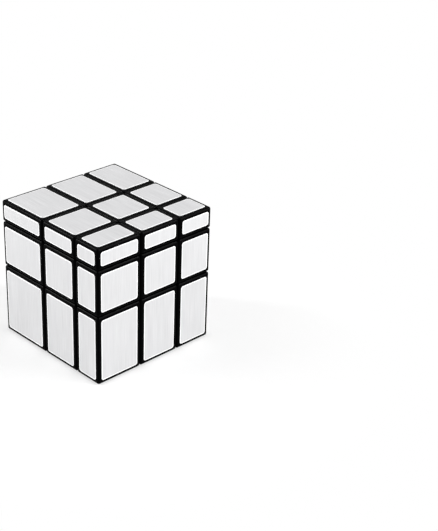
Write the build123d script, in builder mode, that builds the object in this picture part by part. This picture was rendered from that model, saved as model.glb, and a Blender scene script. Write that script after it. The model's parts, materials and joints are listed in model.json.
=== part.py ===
"""A mirror block cube: a 3 x 3 x 3 turning puzzle whose layers differ in thickness instead of colour.

The bottom face lies on Z = 0, centred on the origin. X runs left to right, Y front to back, Z up.
All sizes are in millimetres.

Every block is a hollow shell. Behind it sits a foot (under a centre cap, a hub), which runs in a
ball-shaped hollow about the core. Outside the ball the layers part on the planes that show. Inside
it they part nearer to the core, so each foot reaches in under its neighbours and is held by them.
"""

from build123d import *
import os

os.makedirs("parts", exist_ok=True)

# ---- driving dimensions ----
cube_size = 57.0  # outside, over the foils
middle_layer = 19.0  # the middle layer is the same in all three directions
right_layer = 13.0
back_layer = 17.0
top_layer = 9.0

layer_gap = 0.30  # running gap between two layers
wall = 1.20  # shell wall
edge_round = 0.80  # rounding on every edge of a block

foil = 0.15  # foil thickness
foil_margin_outer = 1.68  # from the cube's own edge to the foil
foil_margin_inner = 1.74  # from the plane between two layers to the foil
foil_corner = 0.90

overhang = 3.50  # how far a foot reaches in under its neighbour
foot_gap = 0.26  # running gap between two feet
ball_roof = 0.35  # plastic left over the ball at the thinnest layer
ball_gap = 0.40  # running gap between a foot and the shells over it
plate = 1.20  # plate that closes a shell from inside
seat_gap = 0.05  # glue gap round a plate
hollow_radius = 10.50  # the feet end here, clear of the core
cap_roof = 1.45  # a thin cap's own plate over its hub

arm_stub = 1.10  # how far an arm stands out of the core's ball
arm_radius = 4.00
hub_gap = 0.20  # running gap between arm and hub
hub_floor = 1.80
screw_radius = 1.50
screw_start = 3.00  # from the core's middle to the screw's tip
bore_clearance = 0.20  # between screw and hub
well_radius = 3.20  # the hub's well for spring, washer and screw head
spring_room = 5.00
spring_wire_radius = 0.30
spring_coil_radius = 2.30
spring_turns = 4
spring_gap = 0.15  # running gap between spring and hub
washer_radius = 2.90
washer_hole_clearance = 0.15
washer_thickness = 0.50
head_radius = 2.75
head_height = 1.60
head_room = 0.50  # between a screw head and the thinnest cap
slot_length = 3.20
slot_width = 0.70
slot_depth = 0.90

# ---- derived places ----
half = cube_size / 2
half_middle = middle_layer / 2

# Where the cube's faces and the core's middle lie along X, Y and Z.
face_low = (-half, -half, 0.0)
face_high = (half, half, cube_size)
core_middle = (
    half - right_layer - half_middle,
    half - back_layer - half_middle,
    cube_size - top_layer - half_middle,
)

inner_cut = half_middle - overhang  # where the feet part, from the core's middle
thinnest_depth = half_middle + min(right_layer, back_layer, top_layer) - foil
ball_radius = thinnest_depth - ball_roof  # the recess in the shells
foot_radius = ball_radius - ball_gap
plate_radius = ball_radius + plate

# The tension set is stacked inwards from the underside of the thinnest cap, and ends at the core.
head_start = thinnest_depth - cap_roof - head_room - head_height
washer_start = head_start - washer_thickness
well_floor = washer_start - spring_room
hub_start = well_floor - hub_floor
arm_reach = hub_start - hub_gap  # from the core's middle to an arm's end
core_ball_radius = arm_reach - arm_stub

layer_names = (("left", "middle", "right"), ("front", "middle", "back"), ("bottom", "middle", "top"))
unit_vectors = ((1, 0, 0), (0, 1, 0), (0, 0, 1))
signs = (-1, 0, 1)
face_list = [(axis, sign) for axis in (2, 1, 0) for sign in (1, -1)]


def block_span(axis, sign):
    """Lowest and highest coordinate of a block's plastic along one axis."""
    low = core_middle[axis] - half_middle
    high = core_middle[axis] + half_middle
    if sign < 0:
        return face_low[axis] + foil, low - layer_gap / 2
    if sign > 0:
        return high + layer_gap / 2, face_high[axis] - foil
    return low + layer_gap / 2, high - layer_gap / 2


def foot_span(axis, sign):
    """Lowest and highest coordinate of a foot along one axis, before it is rounded to the ball."""
    middle = core_middle[axis]
    near = inner_cut + foot_gap / 2
    if sign == 0:
        near = inner_cut - foot_gap / 2
        return middle - near, middle + near
    far = plate_radius
    return (middle + near, middle + far) if sign > 0 else (middle - far, middle - near)


def foil_span(axis, sign):
    """Lowest and highest coordinate of a foil along one axis of its own face."""
    low = core_middle[axis] - half_middle
    high = core_middle[axis] + half_middle
    if sign < 0:
        return face_low[axis] + foil_margin_outer, low - foil_margin_inner
    if sign > 0:
        return high + foil_margin_inner, face_high[axis] - foil_margin_outer
    return low + foil_margin_inner, high - foil_margin_inner


def spans(function, place):
    """The spans of one block, foot or foil along X, Y and Z."""
    return [function(axis, sign) for axis, sign in enumerate(place)]


def box_between(limits, inset=0.0, mode=Mode.ADD):
    """A box that fills the three spans, pulled in on all sides by the inset."""
    with Locations(tuple((low + high) / 2 for low, high in limits)):
        Box(*(high - low - 2 * inset for low, high in limits), mode=mode)


def ball(radius, mode):
    """A ball about the core's middle."""
    with Locations(core_middle):
        Sphere(radius, mode=mode)


def block_name(kind, place):
    """A name such as edge_top_front, from the layers that the block lies in."""
    words = [layer_names[axis][place[axis] + 1] for axis in (2, 1, 0) if place[axis] != 0]
    return "_".join([kind] + words)


def face_plane(axis, sign, distance=0.0):
    """The plane that looks out through a face, its origin that far out from the core's middle."""
    normal = Vector(*unit_vectors[axis]) * sign
    origin = Vector(*core_middle) + normal * distance
    return Plane(origin=origin, x_dir=unit_vectors[0 if axis else 1], z_dir=normal)


def face_depth(axis, sign):
    """From the core's middle to the plastic face of a centre cap."""
    low, high = block_span(axis, sign)
    return high - core_middle[axis] if sign > 0 else core_middle[axis] - low


def is_thin(axis, sign):
    """Whether a face lies too near to the ball for a hollow cap and a plate."""
    return face_depth(axis, sign) < plate_radius + wall + seat_gap


def save(piece, name):
    """Names a finished piece and writes it to its own file."""
    piece.part.label = name
    export_step(piece.part, f"parts/{name}.step")


def is_solid_block(place):
    """Whether a block is a thin centre cap, which has no hollow."""
    faces = [(axis, sign) for axis, sign in enumerate(place) if sign != 0]
    return len(faces) == 1 and is_thin(*faces[0])


# ---- shells: a rounded box, hollow, with the ball cut out of its inner corner ----
def make_shell(place):
    limits = spans(block_span, place)
    with BuildPart() as shell:
        box_between(limits)
        fillet(shell.edges(), edge_round)
        if not is_solid_block(place):
            box_between(limits, inset=wall, mode=Mode.SUBTRACT)
        ball(ball_radius, Mode.SUBTRACT)
        if is_solid_block(place):
            box_between(cap_roof_limits(place))
    return shell


def cap_roof_limits(place):
    """The spans of the plate that fills a thin cap over its hub, down to the hub's flat top."""
    limits = [foot_span(axis, 0) for axis in range(3)]
    axis, sign = next((axis, sign) for axis, sign in enumerate(place) if sign != 0)
    low, high = block_span(axis, sign)
    limits[axis] = (high - cap_roof, high) if sign > 0 else (low, low + cap_roof)
    return limits


def block_places(outer_faces):
    """Every block with that many outer faces, as a sign for each of X, Y and Z."""
    every = [(x, y, z) for z in signs for y in signs for x in signs]
    return [place for place in every if sum(map(abs, place)) == outer_faces]


for block_kind, outer_faces in (("cap", 1), ("edge", 2), ("corner", 3)):
    for place in block_places(outer_faces):
        save(make_shell(place), block_name(block_kind, place))


# ---- feet: a round-backed foot on a stem, and the plate that closes an edge's shell ----
def make_foot(place):
    on_corner = 0 not in place
    cavity = spans(block_span, place)
    with BuildPart() as stem:
        if on_corner:
            box_between(cavity)
            ball(ball_radius - seat_gap, Mode.INTERSECT)
        else:
            box_between(cavity, inset=wall + seat_gap)
            ball(ball_radius, Mode.SUBTRACT)
            narrow = [
                foot_span(axis, 0) if sign == 0 else (span[0] + wall + seat_gap, span[1] - wall - seat_gap)
                for axis, (sign, span) in enumerate(zip(place, cavity))
            ]
            box_between(narrow)
            ball(plate_radius, Mode.INTERSECT)
    with BuildPart() as foot:
        box_between(spans(foot_span, place))
        ball(foot_radius, Mode.INTERSECT)
        ball(hollow_radius, Mode.SUBTRACT)
        add(stem.part)
    return foot


for foot_kind, outer_faces in (("edge", 2), ("corner", 3)):
    for layer in signs:
        places = [place for place in block_places(outer_faces) if place[2] == layer]
        if places:
            feet = [make_foot(place).part for place in places]
            with BuildPart() as foot_group:
                add(feet)
            save(foot_group, f"{foot_kind}_feet_{layer_names[2][layer + 1]}")


# ---- hubs: a square column on the screw, with a well for the spring and a plate in the cap ----
def make_hub(axis, sign):
    column = 2 * (inner_cut - foot_gap / 2)
    shell_inside = middle_layer - layer_gap - 2 * (wall + seat_gap)
    thin = is_thin(axis, sign)
    top = face_depth(axis, sign) - cap_roof if thin else plate_radius
    with BuildPart() as hub:
        if not thin:
            with BuildSketch(face_plane(axis, sign, half_middle)):
                Rectangle(shell_inside, shell_inside)
            extrude(amount=top - half_middle)
            ball(ball_radius, Mode.SUBTRACT)
        with BuildSketch(face_plane(axis, sign, hub_start)):
            Rectangle(column, column)
        extrude(amount=top - hub_start)
        ball(ball_radius - seat_gap if thin else plate_radius, Mode.INTERSECT)
        with BuildSketch(face_plane(axis, sign, well_floor)):
            Circle(well_radius)
        extrude(amount=top - well_floor, mode=Mode.SUBTRACT)
        with BuildSketch(face_plane(axis, sign, hub_start)):
            Circle(screw_radius + bore_clearance)
        extrude(amount=hub_floor, mode=Mode.SUBTRACT)
    return hub


for axis, sign in face_list:
    save(make_hub(axis, sign), f"hub_{layer_names[axis][sign + 1]}")

# ---- core: a ball with six arms, each bored for its screw ----
with BuildPart() as core:
    ball(core_ball_radius, Mode.ADD)
    for axis, sign in face_list:
        with BuildSketch(face_plane(axis, sign)):
            Circle(arm_radius)
        extrude(amount=arm_reach)
    for axis, sign in face_list:
        with BuildSketch(face_plane(axis, sign, screw_start)):
            Circle(screw_radius)
        extrude(amount=arm_reach - screw_start, mode=Mode.SUBTRACT)
save(core, "core")

# ---- tension sets: one screw, washer and spring about +Z, then a copy in each arm ----
with BuildPart() as screw:
    with BuildSketch(Plane.XY.offset(screw_start)):
        Circle(screw_radius)
    extrude(amount=head_start - screw_start)
    with BuildSketch(Plane.XY.offset(head_start)):
        Circle(head_radius)
    extrude(amount=head_height)
    fillet(screw.edges().group_by(Axis.Z)[-1], head_height / 4)
    with BuildSketch(Plane.XY.offset(head_start + head_height)):
        Rectangle(slot_length, slot_width)
        Rectangle(slot_width, slot_length)
    extrude(amount=-slot_depth, mode=Mode.SUBTRACT)

with BuildPart() as washer:
    with BuildSketch(Plane.XY.offset(washer_start)):
        Circle(washer_radius)
        Circle(screw_radius + washer_hole_clearance, mode=Mode.SUBTRACT)
    extrude(amount=washer_thickness)

coil_start = well_floor + spring_gap + spring_wire_radius
coil_rise = washer_start - seat_gap - spring_wire_radius - coil_start
with BuildPart() as spring:
    with BuildLine() as coil:
        Helix(coil_rise / spring_turns, coil_rise, spring_coil_radius, center=(0, 0, coil_start))
    with BuildSketch(Plane(coil.line @ 0, z_dir=coil.line % 0)):
        Circle(spring_wire_radius)
    sweep(is_frenet=True)

for pattern, name in ((screw, "screws"), (washer, "washers"), (spring, "springs")):
    with BuildPart() as tension_set:
        for axis, sign in face_list:
            with Locations(face_plane(axis, sign).location):
                add(pattern.part)
    save(tension_set, f"tension_{name}")


# ---- foils: one rounded sheet on each outer face of each block ----
def foil_outline(axis, sign, place):
    """The plane that a foil lies on, and its width and height there."""
    across, up = [other for other in range(3) if other != axis]
    limits = spans(foil_span, place)
    middle = [(low + high) / 2 for low, high in limits]
    middle[axis] = face_high[axis] - foil if sign > 0 else face_low[axis] + foil
    normal = Vector(*unit_vectors[axis]) * sign
    sizes = [limits[other][1] - limits[other][0] for other in (across, up)]
    return Plane(origin=middle, x_dir=unit_vectors[across], z_dir=normal), sizes


def foil_rows(axis, sign):
    """The blocks of each foil group: a whole face at top and bottom, or one row of a side."""
    every = [place for count in (1, 2, 3) for place in block_places(count)]
    on_face = [place for place in every if place[axis] == sign]
    face_name = layer_names[axis][sign + 1]
    if axis == 2:
        return {f"foils_{face_name}": on_face}
    return {
        f"foils_{face_name}_{layer_names[2][row + 1]}": [place for place in on_face if place[2] == row]
        for row in signs
    }


for axis, sign in face_list:
    for name, places in foil_rows(axis, sign).items():
        with BuildPart() as foils:
            for place in places:
                foil_plane, foil_size = foil_outline(axis, sign, place)
                with BuildSketch(foil_plane):
                    RectangleRounded(*foil_size, foil_corner)
                extrude(amount=foil)
        save(foils, name)
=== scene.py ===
# %% [markdown]
# # A mirror block cube
#
# This puzzle turns like any cube of three by three by three blocks, but its layers differ in
# thickness instead of colour. Each block is a hollow shell of black ABS with rounded edges, and
# each outer face carries one sheet of silver foil, brushed in fine straight lines.
#
# The exact solids come ready made as a frame, in metres, with the bottom face on Z = 0. What is
# left to do here is the part the eye judges: the foils with the painted highlight on their cut
# rims, the plastic, the light and the view.

# %% Load the frame
import json

import bpy
import numpy as np
from mathutils import Matrix, Vector


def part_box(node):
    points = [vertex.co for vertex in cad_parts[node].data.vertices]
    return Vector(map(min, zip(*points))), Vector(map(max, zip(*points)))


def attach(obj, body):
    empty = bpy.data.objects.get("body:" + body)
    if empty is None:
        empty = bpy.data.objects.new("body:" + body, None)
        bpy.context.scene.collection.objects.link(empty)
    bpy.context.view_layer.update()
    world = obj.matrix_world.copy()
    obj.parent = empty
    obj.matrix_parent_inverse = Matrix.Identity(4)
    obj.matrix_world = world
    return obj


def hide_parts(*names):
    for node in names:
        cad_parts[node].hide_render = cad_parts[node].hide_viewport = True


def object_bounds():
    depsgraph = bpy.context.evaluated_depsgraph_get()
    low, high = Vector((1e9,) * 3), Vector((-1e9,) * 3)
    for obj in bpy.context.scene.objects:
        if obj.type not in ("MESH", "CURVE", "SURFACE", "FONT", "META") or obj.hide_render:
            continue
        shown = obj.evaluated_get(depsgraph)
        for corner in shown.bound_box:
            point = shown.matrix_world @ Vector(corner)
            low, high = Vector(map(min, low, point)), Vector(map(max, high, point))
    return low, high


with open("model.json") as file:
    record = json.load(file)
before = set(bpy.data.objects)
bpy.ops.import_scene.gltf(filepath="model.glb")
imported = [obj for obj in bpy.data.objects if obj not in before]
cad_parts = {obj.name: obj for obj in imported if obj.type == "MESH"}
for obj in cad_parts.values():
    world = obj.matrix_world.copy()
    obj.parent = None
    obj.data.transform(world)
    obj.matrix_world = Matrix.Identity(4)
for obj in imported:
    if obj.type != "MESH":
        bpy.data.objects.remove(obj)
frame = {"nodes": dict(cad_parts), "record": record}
cad_box = [list(corner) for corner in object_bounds()]

MM = 0.001
print("nodes in the frame:", len(frame["nodes"]))

# %% [markdown]
# ## Colour
#
# Colours are easiest to choose as the hex values of a paint program, which are in sRGB. A shader
# works with linear light, so one function turns each value into its linear partner.

# %% Colours from hex values
def colour(hex_value):
    """sRGB hex to linear RGBA: c / 12.92 near black, ((c + 0.055) / 1.055) ** 2.4 elsewhere."""
    srgb = np.array([int(hex_value[i:i + 2], 16) for i in (1, 3, 5)]) / 255
    linear = np.where(srgb <= 0.04045, srgb / 12.92, ((srgb + 0.055) / 1.055) ** 2.4)
    return (*linear.tolist(), 1.0)


# %% [markdown]
# ## A helper for node trees
#
# A material is a small graph. Every node needs the same three things: its type, a few settings,
# and what is linked into its sockets. One function does all three, so that each material below
# reads as a list of what it is made of.

# %% One node with its settings and links
def add_node(tree, kind, settings=None, **inputs):
    """Adds a node. An input is a value, or another node's socket to link from. i3 is input 3."""
    node = tree.nodes.new(kind)
    for name, value in (settings or {}).items():
        setattr(node, name, value)
    for name, value in inputs.items():
        key = int(name[1:]) if name[1:].isdigit() else name.replace("_", " ")
        if isinstance(value, bpy.types.NodeSocket):
            tree.links.new(value, node.inputs[key])
        else:
            node.inputs[key].default_value = value
    return node


def new_material(name):
    """An empty material: its tree, its output and its object coordinates."""
    material = bpy.data.materials.new(name)
    material.use_nodes = True
    tree = material.node_tree
    tree.nodes.clear()
    output = tree.nodes.new("ShaderNodeOutputMaterial")
    place = tree.nodes.new("ShaderNodeTexCoord").outputs["Object"]
    return material, tree, output, place


NOISE_LOW, NOISE_HIGH = 0.3, 0.7  # a noise texture seldom leaves this range


# %% [markdown]
# ## Moulded black ABS
#
# The shells are injection moulded in a polished steel tool. That leaves a soft gloss with a very
# slight waviness, the orange peel of cooling plastic, and hands add a haze that is a little
# uneven. The rounded edges catch the light as thin grey lines.
#
# The dye is so deep that white surroundings hardly grey it. A specular level of 0.5, the usual one
# for plastic, would turn the flat parts grey here, so the level is far lower, and the roughness is
# low enough to keep the lines along the edges thin.

# %% The shells' plastic
WAVE_SIZE = 6.0 * MM  # width of one ripple of the moulded surface
HAZE_SIZE = 18.0 * MM  # width of one patch of handling haze
GRAIN_SIZE = 0.35 * MM  # grain of the tool's fine texture
SHELL_ROUGHNESS = (0.12, 0.18)  # of a clean patch and of a hazy one
SHELL_GLOSS = 0.013


def moulded_abs():
    material, tree, output, place = new_material("moulded_black_abs")
    haze = add_node(tree, "ShaderNodeTexNoise", Vector=place, Scale=1 / HAZE_SIZE, Detail=3.0)
    roughness = add_node(
        tree,
        "ShaderNodeMapRange",
        Value=haze.outputs["Fac"],
        i1=NOISE_LOW,
        i2=NOISE_HIGH,
        i3=SHELL_ROUGHNESS[0],
        i4=SHELL_ROUGHNESS[1],
    )
    wave = add_node(tree, "ShaderNodeTexNoise", Vector=place, Scale=1 / WAVE_SIZE, Detail=1.0)
    grain = add_node(tree, "ShaderNodeTexNoise", Vector=place, Scale=1 / GRAIN_SIZE, Detail=2.0)
    ripple = add_node(
        tree, "ShaderNodeBump", Strength=0.25, Distance=0.02 * MM, Height=wave.outputs["Fac"]
    )
    texture = add_node(
        tree,
        "ShaderNodeBump",
        Strength=0.25,
        Distance=0.004 * MM,
        Height=grain.outputs["Fac"],
        Normal=ripple.outputs["Normal"],
    )
    tint = add_node(
        tree,
        "ShaderNodeMix",
        {"data_type": "RGBA"},
        i0=haze.outputs["Fac"],
        i6=colour("#000000"),
        i7=colour("#020203"),
    )
    shader = add_node(
        tree,
        "ShaderNodeBsdfPrincipled",
        Base_Color=tint.outputs[2],
        Roughness=roughness.outputs["Result"],
        IOR=1.53,
        Specular_IOR_Level=SHELL_GLOSS,
        Normal=texture.outputs["Normal"],
    )
    tree.links.new(shader.outputs["BSDF"], output.inputs["Surface"])
    return material


black_abs = moulded_abs()

# %% [markdown]
# ## Inside plastic and steel
#
# The feet, hubs and core are moulded in the same black but in a matt tool, so that they slide.
# The screws, washers and springs are zinc plated steel. Little of this shows, only through the
# gaps as a layer turns, yet each gets its real finish.

# %% The inner parts' finishes
TURNING_MARK = 0.12 * MM  # pitch of the marks that drawing and turning leave on steel
MATT_ROUGHNESS = (0.5, 0.65)
STEEL_ROUGHNESS = (0.25, 0.4)


def matt_abs():
    material, tree, output, place = new_material("matt_black_abs")
    grain = add_node(tree, "ShaderNodeTexNoise", Vector=place, Scale=1 / GRAIN_SIZE, Detail=3.0)
    roughness = add_node(
        tree,
        "ShaderNodeMapRange",
        Value=grain.outputs["Fac"],
        i1=NOISE_LOW,
        i2=NOISE_HIGH,
        i3=MATT_ROUGHNESS[0],
        i4=MATT_ROUGHNESS[1],
    )
    bump = add_node(
        tree, "ShaderNodeBump", Strength=0.3, Distance=0.01 * MM, Height=grain.outputs["Fac"]
    )
    shader = add_node(
        tree,
        "ShaderNodeBsdfPrincipled",
        Base_Color=colour("#121214"),
        Roughness=roughness.outputs["Result"],
        IOR=1.53,
        Normal=bump.outputs["Normal"],
    )
    tree.links.new(shader.outputs["BSDF"], output.inputs["Surface"])
    return material


def plated_steel():
    material, tree, output, place = new_material("zinc_plated_steel")
    marks = add_node(tree, "ShaderNodeTexNoise", Vector=place, Scale=1 / TURNING_MARK, Detail=2.0)
    roughness = add_node(
        tree,
        "ShaderNodeMapRange",
        Value=marks.outputs["Fac"],
        i1=NOISE_LOW,
        i2=NOISE_HIGH,
        i3=STEEL_ROUGHNESS[0],
        i4=STEEL_ROUGHNESS[1],
    )
    tint = add_node(
        tree,
        "ShaderNodeMix",
        {"data_type": "RGBA"},
        i0=marks.outputs["Fac"],
        i6=colour("#A9ACB0"),
        i7=colour("#C2C4C6"),
    )
    shader = add_node(
        tree,
        "ShaderNodeBsdfPrincipled",
        Base_Color=tint.outputs[2],
        Metallic=1.0,
        Roughness=roughness.outputs["Result"],
    )
    tree.links.new(shader.outputs["BSDF"], output.inputs["Surface"])
    return material


inner_abs = matt_abs()
steel = plated_steel()

# %% [markdown]
# ## Dress the ready-made solids
#
# The shells, feet, hubs, core and tension sets keep their exact shapes. Only their finish changes:
# the record says which slot each solid belongs to, and each slot has one of the materials above.

# %% Give each solid its finish
finish_of_slot = {"black_plastic": black_abs, "inner_plastic": inner_abs, "steel": steel}
slot_of_node = {part["node"]: part["material_slot"] for part in frame["record"]["subparts"]}

for node_name, node in frame["nodes"].items():
    finish = finish_of_slot.get(slot_of_node[node_name])
    if finish:
        node.data.materials.clear()
        node.data.materials.append(finish)
print("finished solids:", sum(slot in finish_of_slot for slot in slot_of_node.values()))

# %% [markdown]
# ## Brushed silver film
#
# The silver sheets are vinyl: a carrier film, a metallised layer brushed in fine straight lines,
# and a clear coat. The die that cuts them rolls the edge over, and the narrow border round every
# sheet is painted near white: a painted highlight for the light that this rounded cut edge
# catches, which draws the bright line round every sheet.
# Brushing leaves grooves of many widths. Two stretched noises show them: hair-fine lines, and
# broader bands where the brush pressed harder. They follow the sheet's own UV map, laid out in
# millimetres with V along the brushing. The finest real lines are a few hundredths of a
# millimetre, too fine to show, so they are drawn coarser here.

# %% The silver finish and the rim's painted highlight
FINE_LINE = 0.30  # width of a fine brushed line, drawn about six times coarser than the real one
FINE_RUN = 14.0  # length of a fine line
BAND_WIDTH = 2.6  # width of a band where the brush pressed harder
BAND_RUN = 60.0  # length of a band
BAND_SHARE = 0.20  # how much of the tint's change comes from the bands
TINT_FROM, TINT_TO = 0.35, 0.65  # values of the mixed noise for the darker and the lighter tint
SILVER_ROUGHNESS = (0.58, 0.66)


def stretched_noise(tree, across, along, detail):
    """Noise on the UV map, across millimetres wide and along millimetres long."""
    uv = add_node(tree, "ShaderNodeUVMap", {"uv_map": "sheet_mm"})
    mapping = add_node(
        tree, "ShaderNodeMapping", Vector=uv.outputs["UV"], Scale=(1 / across, 1 / along, 1.0)
    )
    return add_node(
        tree, "ShaderNodeTexNoise", Vector=mapping.outputs["Vector"], Scale=1.0, Detail=detail
    ).outputs["Fac"]


def brushed_silver():
    material, tree, output, _ = new_material("brushed_silver_film")
    fine = stretched_noise(tree, FINE_LINE, FINE_RUN, 2.0)
    bands = stretched_noise(tree, BAND_WIDTH, BAND_RUN, 1.0)
    both = add_node(
        tree, "ShaderNodeMix", {"data_type": "FLOAT"}, i0=BAND_SHARE, i2=fine, i3=bands
    )
    tint = add_node(
        tree,
        "ShaderNodeMapRange",
        {"data_type": "FLOAT_VECTOR"},
        Vector=both.outputs[0],
        i7=(TINT_FROM,) * 3,
        i8=(TINT_TO,) * 3,
        i9=colour("#C6C6C7")[:3],
        i10=colour("#D1D1D2")[:3],
    )
    roughness = add_node(
        tree,
        "ShaderNodeMapRange",
        Value=fine,
        i1=NOISE_LOW,
        i2=NOISE_HIGH,
        i3=SILVER_ROUGHNESS[0],
        i4=SILVER_ROUGHNESS[1],
    )
    grooves = add_node(tree, "ShaderNodeBump", Strength=0.2, Distance=0.003 * MM, Height=fine)
    shader = add_node(
        tree,
        "ShaderNodeBsdfPrincipled",
        Base_Color=tint.outputs["Vector"],
        Metallic=0.9,
        Roughness=roughness.outputs["Result"],
        Anisotropic=0.15,
        Normal=grooves.outputs["Normal"],
        Tangent=add_node(
            tree, "ShaderNodeTangent", {"direction_type": "UV_MAP", "uv_map": "sheet_mm"}
        ).outputs["Tangent"],
    )
    tree.links.new(shader.outputs["BSDF"], output.inputs["Surface"])
    return material


# Near-white colour on every sheet's rim: a painted highlight for light caught by the rounded cut
# edge, with a faint random grain.
def rim_highlight_material():
    material, tree, output, place = new_material("painted_highlight_rim")
    grain = add_node(tree, "ShaderNodeTexNoise", Vector=place, Scale=1 / GRAIN_SIZE, Detail=2.0)
    tint = add_node(
        tree,
        "ShaderNodeMix",
        {"data_type": "RGBA"},
        i0=grain.outputs["Fac"],
        i6=colour("#F4F5F5"),
        i7=colour("#FCFCFC"),
    )
    shader = add_node(
        tree, "ShaderNodeBsdfPrincipled", Base_Color=tint.outputs[2], Roughness=0.4, IOR=1.5
    )
    tree.links.new(shader.outputs["BSDF"], output.inputs["Surface"])
    return material


silver = brushed_silver()
# The rims' near-white colour is a painted highlight of the sheets' cut edges.
rim_highlight = rim_highlight_material()

# %% [markdown]
# ## The shape of one sheet
#
# A sheet could be a box with a bevel, but the rim with its painted highlight needs its own faces
# and the corners need an exact radius. So the sheet is a profile carried round a rounded rectangle:
# each point of the profile is a distance in from the cut edge and a height above the plastic. One
# centre point below and one above close it.

# %% A rounded sheet from a profile and an outline
HIGHLIGHT_RIM_WIDTH = 0.30 * MM  # rim round the silver, painted near white as a highlight
CUT_ROUND = 0.03 * MM  # the die rolls the cut edge over by this much
CUT_HEIGHT = 0.7  # share of the thickness at which the cut edge starts to roll over
SILVER_STEP = 0.12  # share of the thickness by which the silver stands above the border
CORNER_RADIUS = 0.9 * MM
CORNER_STEPS = 8  # faces round one corner

sheet_low, sheet_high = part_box("foils_top")
SHEET_THICKNESS = sheet_high.z - sheet_low.z


def outline(width, height, radius):
    """Rounded rectangle, anticlockwise.

    At angle a: x = sx (w/2 - r) + r cos a and y = sy (h/2 - r) + r sin a. The signs sx and sy are
    those of the corner that the quarter turn holding a belongs to.
    """
    quarter = np.linspace(0, np.pi / 2, CORNER_STEPS + 1)
    angle = (quarter + np.array([[0], [1], [2], [3]]) * np.pi / 2).ravel()
    sign_x = np.repeat([1, -1, -1, 1], CORNER_STEPS + 1)
    sign_y = np.repeat([1, 1, -1, -1], CORNER_STEPS + 1)
    x = sign_x * (width / 2 - radius) + radius * np.cos(angle)
    y = sign_y * (height / 2 - radius) + radius * np.sin(angle)
    return x, y


def sheet_surface(width, height):
    """Points (x, y, h) of a sheet: the outline drawn in by the profile's inset, at its height."""
    border_level = SHEET_THICKNESS * (1 - SILVER_STEP)
    profile = [
        (0.0, 0.0),
        (0.0, SHEET_THICKNESS * CUT_HEIGHT),
        (CUT_ROUND, border_level),
        (HIGHLIGHT_RIM_WIDTH, border_level),
        (HIGHLIGHT_RIM_WIDTH + CUT_ROUND, SHEET_THICKNESS),
    ]
    rings = []
    for inset, level in profile:
        x, y = outline(width - 2 * inset, height - 2 * inset, CORNER_RADIUS - inset)
        rings.append(np.stack([x, y, np.full_like(x, level)], axis=1))
    centres = np.array([[0, 0, 0], [0, 0, SHEET_THICKNESS]])
    return np.concatenate(rings + [centres]), len(profile)


def sheet_faces(ring_count):
    """Quads between each ring and the next, and a fan to each centre. Returns faces and finishes.

    A finish is 0 for the rim in painted highlight and 1 for silver: the last step and upper fan.
    """
    around = 4 * (CORNER_STEPS + 1)
    i = np.arange(around)
    after = (i + 1) % around
    quads = [
        np.stack([ring + i, ring + after, ring + around + after, ring + around + i], 1)
        for ring in range(0, (ring_count - 1) * around, around)
    ]
    below, above = ring_count * around, ring_count * around + 1
    last = (ring_count - 1) * around
    under = np.stack([after, i, np.full(around, below)], 1)
    over = np.stack([last + i, last + after, np.full(around, above)], 1)
    faces = [face.tolist() for group in (*quads, under, over) for face in group]
    is_silver = [0] * (around * (ring_count - 2)) + [1] * around + [0] * around + [1] * around
    return faces, is_silver


# %% [markdown]
# ## Where the sheets lie
#
# Each group of sheets covers one row of a side, or the whole top or bottom. The blocks' own boxes
# give where a sheet begins and ends: it stays a fixed margin inside its block. On the cube's own
# edges the group's box gives the end directly.

# %% Spans along the three axes
block_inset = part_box("foils_front_middle")[0].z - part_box("cap_front")[0].z
across_blocks = ("edge_top_left", "cap_top", "edge_top_right")
deep_blocks = ("edge_top_front", "cap_top", "edge_top_back")
high_blocks = ("edge_bottom_front", "cap_front", "edge_top_front")


def spans(nodes, axis, group_low, group_high):
    """Start and end of three sheets in a row: block ends moved in by the inset, group ends kept."""
    low = [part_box(node)[0][axis] + block_inset for node in nodes]
    high = [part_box(node)[1][axis] - block_inset for node in nodes]
    low[0], high[-1] = group_low, group_high
    return list(zip(low, high))


top_low, top_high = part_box("foils_top")
front_low, front_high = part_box("foils_front_bottom")[0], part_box("foils_front_top")[1]
sheet_spans = (
    spans(across_blocks, 0, top_low.x, top_high.x),
    spans(deep_blocks, 1, top_low.y, top_high.y),
    spans(high_blocks, 2, front_low.z, front_high.z),
)
print("border inset of a sheet in its block, mm:", round(block_inset / MM, 3))

# %% [markdown]
# ## Lay the sheets on the cube
#
# A side is described by the two axes that span it and the direction it faces. The sheet's own x, y
# and height go along those three, so one line of arithmetic puts every point in its place. Each
# side is brushed one way. The upright sides are brushed from top to bottom, the top and bottom
# from left to right, and each sheet is cut from its own stretch of film.

# %% One piece for each group of sheets
X, Y, Z = np.eye(3)
sides = {  # across, up, outwards, the axes of across and up
    "front": (X, Z, -Y, 0, 2),
    "right": (Y, Z, X, 1, 2),
    "back": (-X, Z, Y, 0, 2),
    "left": (-Y, Z, -X, 1, 2),
    "top": (X, Y, Z, 0, 1),
    "bottom": (X, -Y, -Z, 0, 1),
}
rows_of_side = ("bottom", "middle", "top")
ROLL_LENGTH = 500.0  # millimetres of film that the sheets are cut from
roll = np.random.default_rng(7)  # picks where on the roll each sheet was cut


def side_level(side):
    """How far outwards from the origin the plastic under a side's sheets lies."""
    low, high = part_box(f"foils_{side}" if side in ("top", "bottom") else f"foils_{side}_middle")
    outwards = sides[side][2]
    return (np.array(low) @ outwards + np.array(high) @ outwards) / 2 - SHEET_THICKNESS / 2


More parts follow.
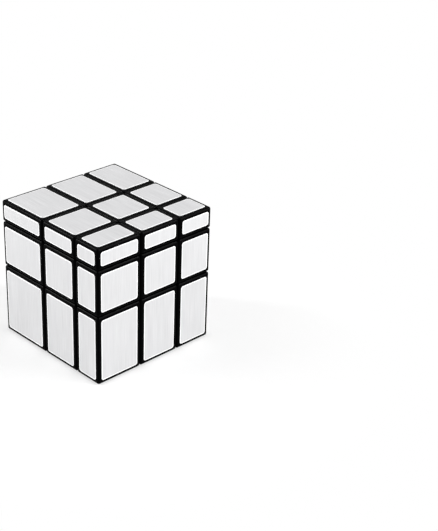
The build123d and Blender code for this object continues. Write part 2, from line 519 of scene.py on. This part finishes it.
def lay_sheets(node_name, side, cells):
    """Joins the sheets of one group into a mesh: point = middle + x across + y up + h outwards."""
    across, up, outwards, across_axis, up_axis = sides[side]
    level = side_level(side)
    points, faces, finishes, mm_map = [], [], [], []
    for across_span, up_span in cells:
        size = (across_span[1] - across_span[0], up_span[1] - up_span[0])
        surface, ring_count = sheet_surface(*size)
        middle = np.zeros(3)
        middle[across_axis] = sum(across_span) / 2
        middle[up_axis] = sum(up_span) / 2
        middle += outwards * level
        sheet_face, is_silver = sheet_faces(ring_count)
        start = sum(map(len, points))
        points.append(middle + surface @ np.array([across, up, outwards]))
        faces += [[corner + start for corner in face] for face in sheet_face]
        finishes += is_silver
        turned = surface[:, [1, 0]] if up_axis == 1 else surface[:, [0, 1]]
        mm_map.append(turned / MM + roll.uniform(0, ROLL_LENGTH, 2))
    mesh = bpy.data.meshes.new(node_name + "_sheets")
    mesh.from_pydata(np.concatenate(points).tolist(), [], faces)
    # Finish 0 is the rim with its painted highlight, finish 1 the brushed silver.
    mesh.materials.append(rim_highlight)
    mesh.materials.append(silver)
    mesh.polygons.foreach_set("material_index", finishes)
    corners = np.empty(len(mesh.loops), dtype=int)
    mesh.loops.foreach_get("vertex_index", corners)
    layer = mesh.uv_layers.new(name="sheet_mm")
    layer.data.foreach_set("uv", np.concatenate(mm_map)[corners].ravel())
    mesh.update()
    piece = bpy.data.objects.new(node_name + "_sheets", mesh)
    bpy.context.collection.objects.link(piece)
    return piece


body_of_row = {"top": "top_layer", "middle": "core_and_middle", "bottom": "bottom_layer"}
sheet_count = 0
for side, (_, _, _, across_axis, up_axis) in sides.items():
    flat = up_axis == 1
    for row_name, row_span in zip(rows_of_side, sheet_spans[2]):
        if flat and row_name != side:
            continue
        across_cells = sheet_spans[across_axis]
        up_cells = sheet_spans[1] if flat else (row_span,)
        cells = [(across_cell, up_cell) for up_cell in up_cells for across_cell in across_cells]
        node_name = f"foils_{side}" if flat else f"foils_{side}_{row_name}"
        piece = lay_sheets(node_name, side, cells)
        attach(piece, body_of_row[row_name])
        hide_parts(node_name)
        sheet_count += len(cells)
print("sheets laid:", sheet_count)

# %% [markdown]
# ## Floor, background and light
#
# The cube stands on white in a light tent. The floor must look white and still keep a soft
# shadow, so it is partly a plain diffuse surface and partly a surface that is simply white to the
# camera and to mirror-like reflections. The white share grows with the distance from the cube, so
# that only the shadow close to the cube is left. The world is white past the floor.

# %% Floor and world
FLOOR_HALF = 3.0  # metres
FIBRE_CLOUD = 4.0 * MM  # width of one cloud in the paper
FLOOR_GLOW = 0.40  # share of the floor near the cube that is white whatever falls on it
GLOW_FROM, GLOW_TO = 0.035, 0.12  # metres from the middle: the share grows from here to all white


def seen_directly(tree):
    """1 for rays from the camera, in a reflection or through glass, else 0."""
    ray = tree.nodes.new("ShaderNodeLightPath")
    mirrored = add_node(
        tree,
        "ShaderNodeMath",
        {"operation": "MAXIMUM"},
        i0=ray.outputs["Is Camera Ray"],
        i1=ray.outputs["Is Glossy Ray"],
    )
    return add_node(
        tree,
        "ShaderNodeMath",
        {"operation": "MAXIMUM"},
        i0=mirrored.outputs[0],
        i1=ray.outputs["Is Transmission Ray"],
    ).outputs[0]


def floor_paper():
    material, tree, output, place = new_material("white_paper_floor")
    fibre = add_node(tree, "ShaderNodeTexNoise", Vector=place, Scale=1 / FIBRE_CLOUD, Detail=2.0)
    tint = add_node(
        tree,
        "ShaderNodeMix",
        {"data_type": "RGBA"},
        i0=fibre.outputs["Fac"],
        i6=colour("#F6F6F6"),
        i7=colour("#FAFAFA"),
    )
    paper = add_node(tree, "ShaderNodeBsdfDiffuse", Color=tint.outputs[2])
    glow = add_node(tree, "ShaderNodeEmission", Color=colour("#FFFFFF"), Strength=1.0)
    away = add_node(tree, "ShaderNodeVectorMath", {"operation": "LENGTH"}, Vector=place)
    growth = add_node(
        tree,
        "ShaderNodeMapRange",
        {"interpolation_type": "SMOOTHSTEP"},
        Value=away.outputs["Value"],
        i1=GLOW_FROM,
        i2=GLOW_TO,
        i3=FLOOR_GLOW,
        i4=1.0,
    )
    share = add_node(
        tree,
        "ShaderNodeMath",
        {"operation": "MULTIPLY"},
        i0=seen_directly(tree),
        i1=growth.outputs["Result"],
    )
    mixed = add_node(
        tree,
        "ShaderNodeMixShader",
        i0=share.outputs[0],
        i1=paper.outputs["BSDF"],
        i2=glow.outputs["Emission"],
    )
    tree.links.new(mixed.outputs["Shader"], output.inputs["Surface"])
    return material


floor_mesh = bpy.data.meshes.new("floor")
floor_corners = np.array([[-1, -1, 0], [1, -1, 0], [1, 1, 0], [-1, 1, 0]]) * FLOOR_HALF
floor_corners[:, 2] = cad_box[0][2]
floor_mesh.from_pydata(floor_corners.tolist(), [], [(0, 1, 2, 3)])
floor_mesh.materials.append(floor_paper())
floor = bpy.data.objects.new("floor", floor_mesh)
bpy.context.collection.objects.link(floor)

TENT_LIGHT = 0.45  # the tent's own light on the object

world = bpy.data.worlds.new("light_tent")
bpy.context.scene.world = world
world.use_nodes = True
tent = world.node_tree
tent.nodes.clear()
direct = seen_directly(tent)
strength = add_node(
    tent, "ShaderNodeMapRange", Value=direct, i1=0.0, i2=1.0, i3=TENT_LIGHT, i4=1.0
)
sky = add_node(
    tent, "ShaderNodeBackground", Color=colour("#FFFFFF"), Strength=strength.outputs["Result"]
)
tent_output = tent.nodes.new("ShaderNodeOutputWorld")
tent.links.new(sky.outputs["Background"], tent_output.inputs["Surface"])

# %% [markdown]
# ## Lamps
#
# Two large softboxes stand low, one on the right and a little behind, one on the left in front.
# Each is where one of the two near sides mirrors the view, so both sides read lighter than the
# top. Two small lamps stand higher in the same quarters. Their reflections are the thin grey lines
# along the rounded black edges.

# %% Area lamps
cube_middle = np.mean(cad_box, axis=0)
LAMP_DISTANCE = 1.2  # metres
lamps = {  # azimuth and height in degrees, side in metres, watts
    "right_softbox": ((125, 16), 0.8, 14.6),
    "left_softbox": ((-40, 16), 0.8, 12.3),
    "right_edge_lamp": ((141, 43), 0.12, 4.0),
    "left_edge_lamp": ((-56, 35), 0.12, 4.0),
}


def aim(vector):
    """The turn that points a lamp or camera along a vector."""
    return Vector(vector).to_track_quat("-Z", "Y")


for lamp_name, (direction, side_length, watts) in lamps.items():
    azimuth, height = np.radians(direction)
    towards = np.array(
        [np.sin(azimuth) * np.cos(height), -np.cos(azimuth) * np.cos(height), np.sin(height)]
    )
    lamp_data = bpy.data.lights.new(lamp_name, "AREA")
    lamp_data.shape = "SQUARE"
    lamp_data.size = side_length
    lamp_data.energy = watts
    lamp = bpy.data.objects.new(lamp_name, lamp_data)
    lamp.location = cube_middle + towards * LAMP_DISTANCE
    lamp.rotation_euler = aim(-towards).to_euler()
    lamp.visible_camera = False
    bpy.context.collection.objects.link(lamp)

# %% [markdown]
# ## Camera
#
# A short telephoto lens from half a metre keeps the cube's upright edges nearly parallel, as is
# usual in a view of a product. The cube stands left of the middle, which leaves room at its right.

# %% Camera
SENSOR_WIDTH = 36.0  # millimetres
FOCAL_LENGTH = 86.74
CAMERA_PLACE = (0.34186, -0.28834, 0.26120)  # metres
AZIMUTH, TILT, ROLL = np.radians((44.224, -27.251, 2.226))

camera_data = bpy.data.cameras.new("catalogue_camera")
camera_data.sensor_width = SENSOR_WIDTH
camera_data.lens = FOCAL_LENGTH
camera_data.clip_start, camera_data.clip_end = 0.01, 20.0
camera = bpy.data.objects.new("catalogue_camera", camera_data)
camera.location = CAMERA_PLACE
forward = (-np.sin(AZIMUTH) * np.cos(TILT), np.cos(AZIMUTH) * np.cos(TILT), np.sin(TILT))
level_view = aim(forward).to_matrix().to_4x4()
camera.rotation_euler = (level_view @ Matrix.Rotation(ROLL, 4, "Z")).to_euler()
bpy.context.collection.objects.link(camera)
bpy.context.scene.camera = camera

# %% [markdown]
#
# The Standard view shows a colour about as it is written.

bpy.context.scene.view_settings.view_transform = "Standard"
bpy.context.view_layer.update()
